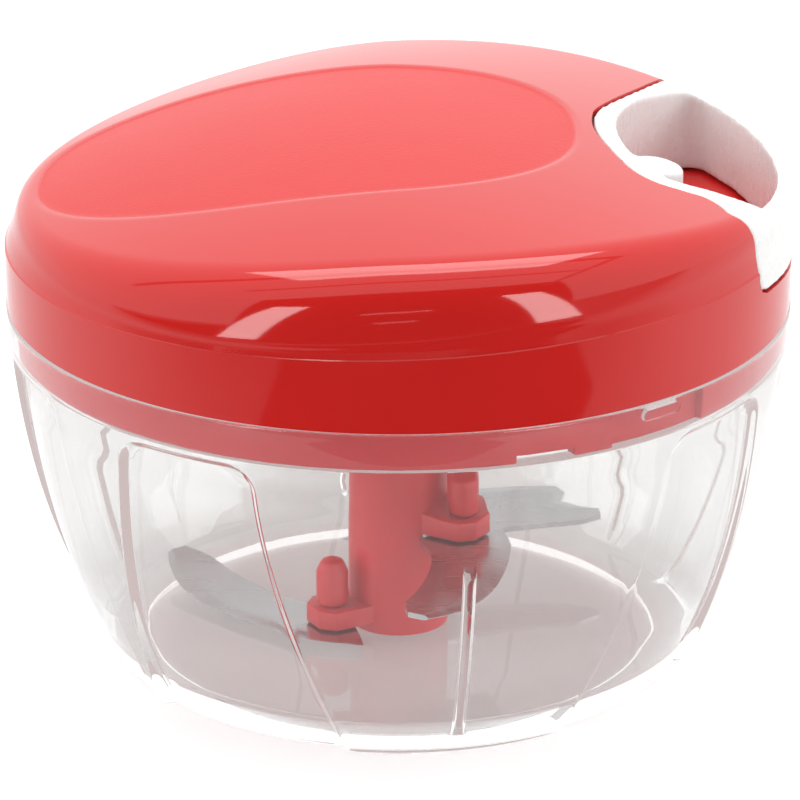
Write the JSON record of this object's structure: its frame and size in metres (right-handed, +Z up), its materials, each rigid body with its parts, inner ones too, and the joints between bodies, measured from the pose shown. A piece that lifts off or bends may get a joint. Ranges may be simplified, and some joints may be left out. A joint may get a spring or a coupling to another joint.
{
  "type": "pull cord food chopper",
  "caption": "Pull cord food chopper: a clear tapered bowl, swept blades at stepped heights on a central hub, and a domed lid with a flush pull handle.",
  "frame": {"origin": "centre of the foot of the bowl, on the table", "axes": "+Z up along the axis of the bowl and of the blade unit, +X the way that the handle pulls out"},
  "size_m": [0.1248, 0.1249, 0.0869],
  "materials": {
    "clear_plastic": "clear, polished",
    "red_gloss": "high gloss, with a fine grained matte pad on top",
    "red_satin": "satin",
    "white_plastic": "semi gloss",
    "grey_plastic": "plain moulded",
    "blade_steel": "brushed along the blade",
    "steel": "bright",
    "cord": "braided"
  },
  "bodies": {
    "bowl": {"bowl": "clear_plastic", "bowl_spindle": "steel"},
    "blade_unit": {"blade_hub": "red_satin", "hub_bush": "grey_plastic", "blade_low": "blade_steel", "blade_mid": "blade_steel", "blade_high": "blade_steel", "blade_pin_low": "red_satin", "blade_pin_mid": "red_satin", "blade_pin_high": "red_satin"},
    "lid": {"lid_base": "red_satin", "lid_cover": "red_gloss", "mechanism_cap": "grey_plastic", "cap_screw_1": "steel", "cap_screw_2": "steel", "cap_screw_3": "steel", "cap_screw_4": "steel", "cover_screw_1": "steel", "cover_screw_2": "steel", "cover_screw_3": "steel", "cord_eyelet": "white_plastic", "recoil_spring": "steel", "cord_lead": "cord", "spool_washer": "grey_plastic"},
    "spool": {"spool": "grey_plastic", "cord_winding": "cord"},
    "handle": {"pull_handle": "white_plastic", "cord_knot": "cord"}
  },
  "joints": [
    {"name": "lid_lift", "type": "slide", "parent": "bowl", "child": "lid", "axis": [0, 0, 1], "range_m": [0, 0.08]},
    {"name": "handle_pull", "type": "slide", "parent": "lid", "child": "handle", "axis": [1, 0, 0], "range_m": [0, 0.3], "stiffness_N_per_m": 12, "springref_m": -0.25, "deforming": ["cord_lead"]},
    {"name": "spool_spin", "type": "hinge", "parent": "lid", "child": "spool", "pos_m": [0, 0, 0.07], "axis": [0, 0, 1], "range_deg": [0, 1440], "deforming": ["recoil_spring"]},
    {"name": "blade_spin", "type": "hinge", "parent": "bowl", "child": "blade_unit", "pos_m": [0, 0, 0.01], "axis": [0, 0, 1], "range_deg": [0, 1440]}
  ],
  "couplings": [
    {"joint": "spool_spin", "follows": "handle_pull", "rad_per_m": 79.365},
    {"joint": "blade_spin", "follows": "handle_pull", "rad_per_m": 79.365}
  ]
}
